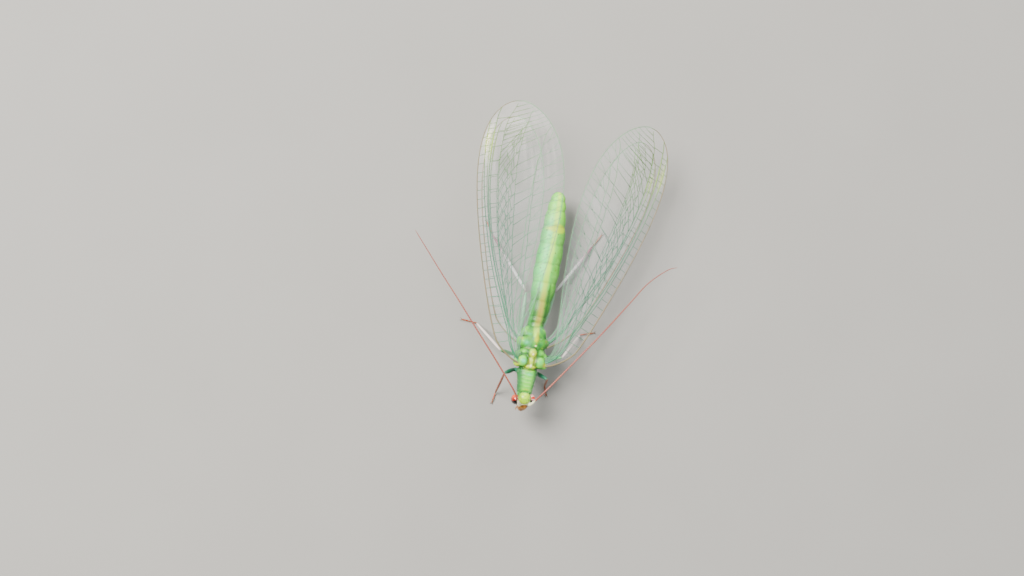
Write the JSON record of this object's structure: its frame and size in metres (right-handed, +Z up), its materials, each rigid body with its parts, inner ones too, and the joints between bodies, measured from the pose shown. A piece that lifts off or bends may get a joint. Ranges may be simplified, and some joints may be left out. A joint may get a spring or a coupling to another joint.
{
  "type": "green lacewing",
  "caption": "Slender green lacewing at rest, clear veined wings half spread behind the thorax, long thread-like antennae swept back, standing on its legs.",
  "frame": {"origin": "on the floor plane under the middle of the whole insect's box", "axes": "+Z up; the head looks along -Y and the wing tips point along +Y; +X is the animal's own left"},
  "size_m": [0.0136, 0.0153, 0.004],
  "materials": {
    "head_green": "satin yellow-green cuticle with cream cheeks",
    "mouthpart_brown": "satin orange-brown horn",
    "eye_red": "glossy compound eye, orange-red above and black below",
    "antenna_pink": "dull salmon pink",
    "collar_green": "satin blue-green with a pale stripe",
    "thorax_green": "satin mint green with yellow patches",
    "abdomen_green": "soft lime green with a cream stripe",
    "wing_membrane": "clear iridescent membrane with green veins",
    "femur_green": "satin green",
    "tibia_pink": "satin white to coral pink"
  },
  "bodies": {
    "root": {"head": "head_green", "mouthparts": "mouthpart_brown", "eye_left": "eye_red", "eye_right": "eye_red", "antenna_left": "antenna_pink", "antenna_right": "antenna_pink", "prothorax": "collar_green", "thorax": "thorax_green", "abdomen": "abdomen_green", "forewing_left": "wing_membrane", "forewing_right": "wing_membrane", "hindwing_left": "wing_membrane", "hindwing_right": "wing_membrane", "front_leg_left_femur": "femur_green", "front_leg_left_tibia": "tibia_pink", "front_leg_right_femur": "femur_green", "front_leg_right_tibia": "tibia_pink", "middle_leg_left_femur": "femur_green", "middle_leg_left_tibia": "tibia_pink", "middle_leg_right_femur": "femur_green", "middle_leg_right_tibia": "tibia_pink", "hind_leg_left_femur": "femur_green", "hind_leg_left_tibia": "tibia_pink", "hind_leg_right_femur": "femur_green", "hind_leg_right_tibia": "tibia_pink"}
  },
  "joints": []
}
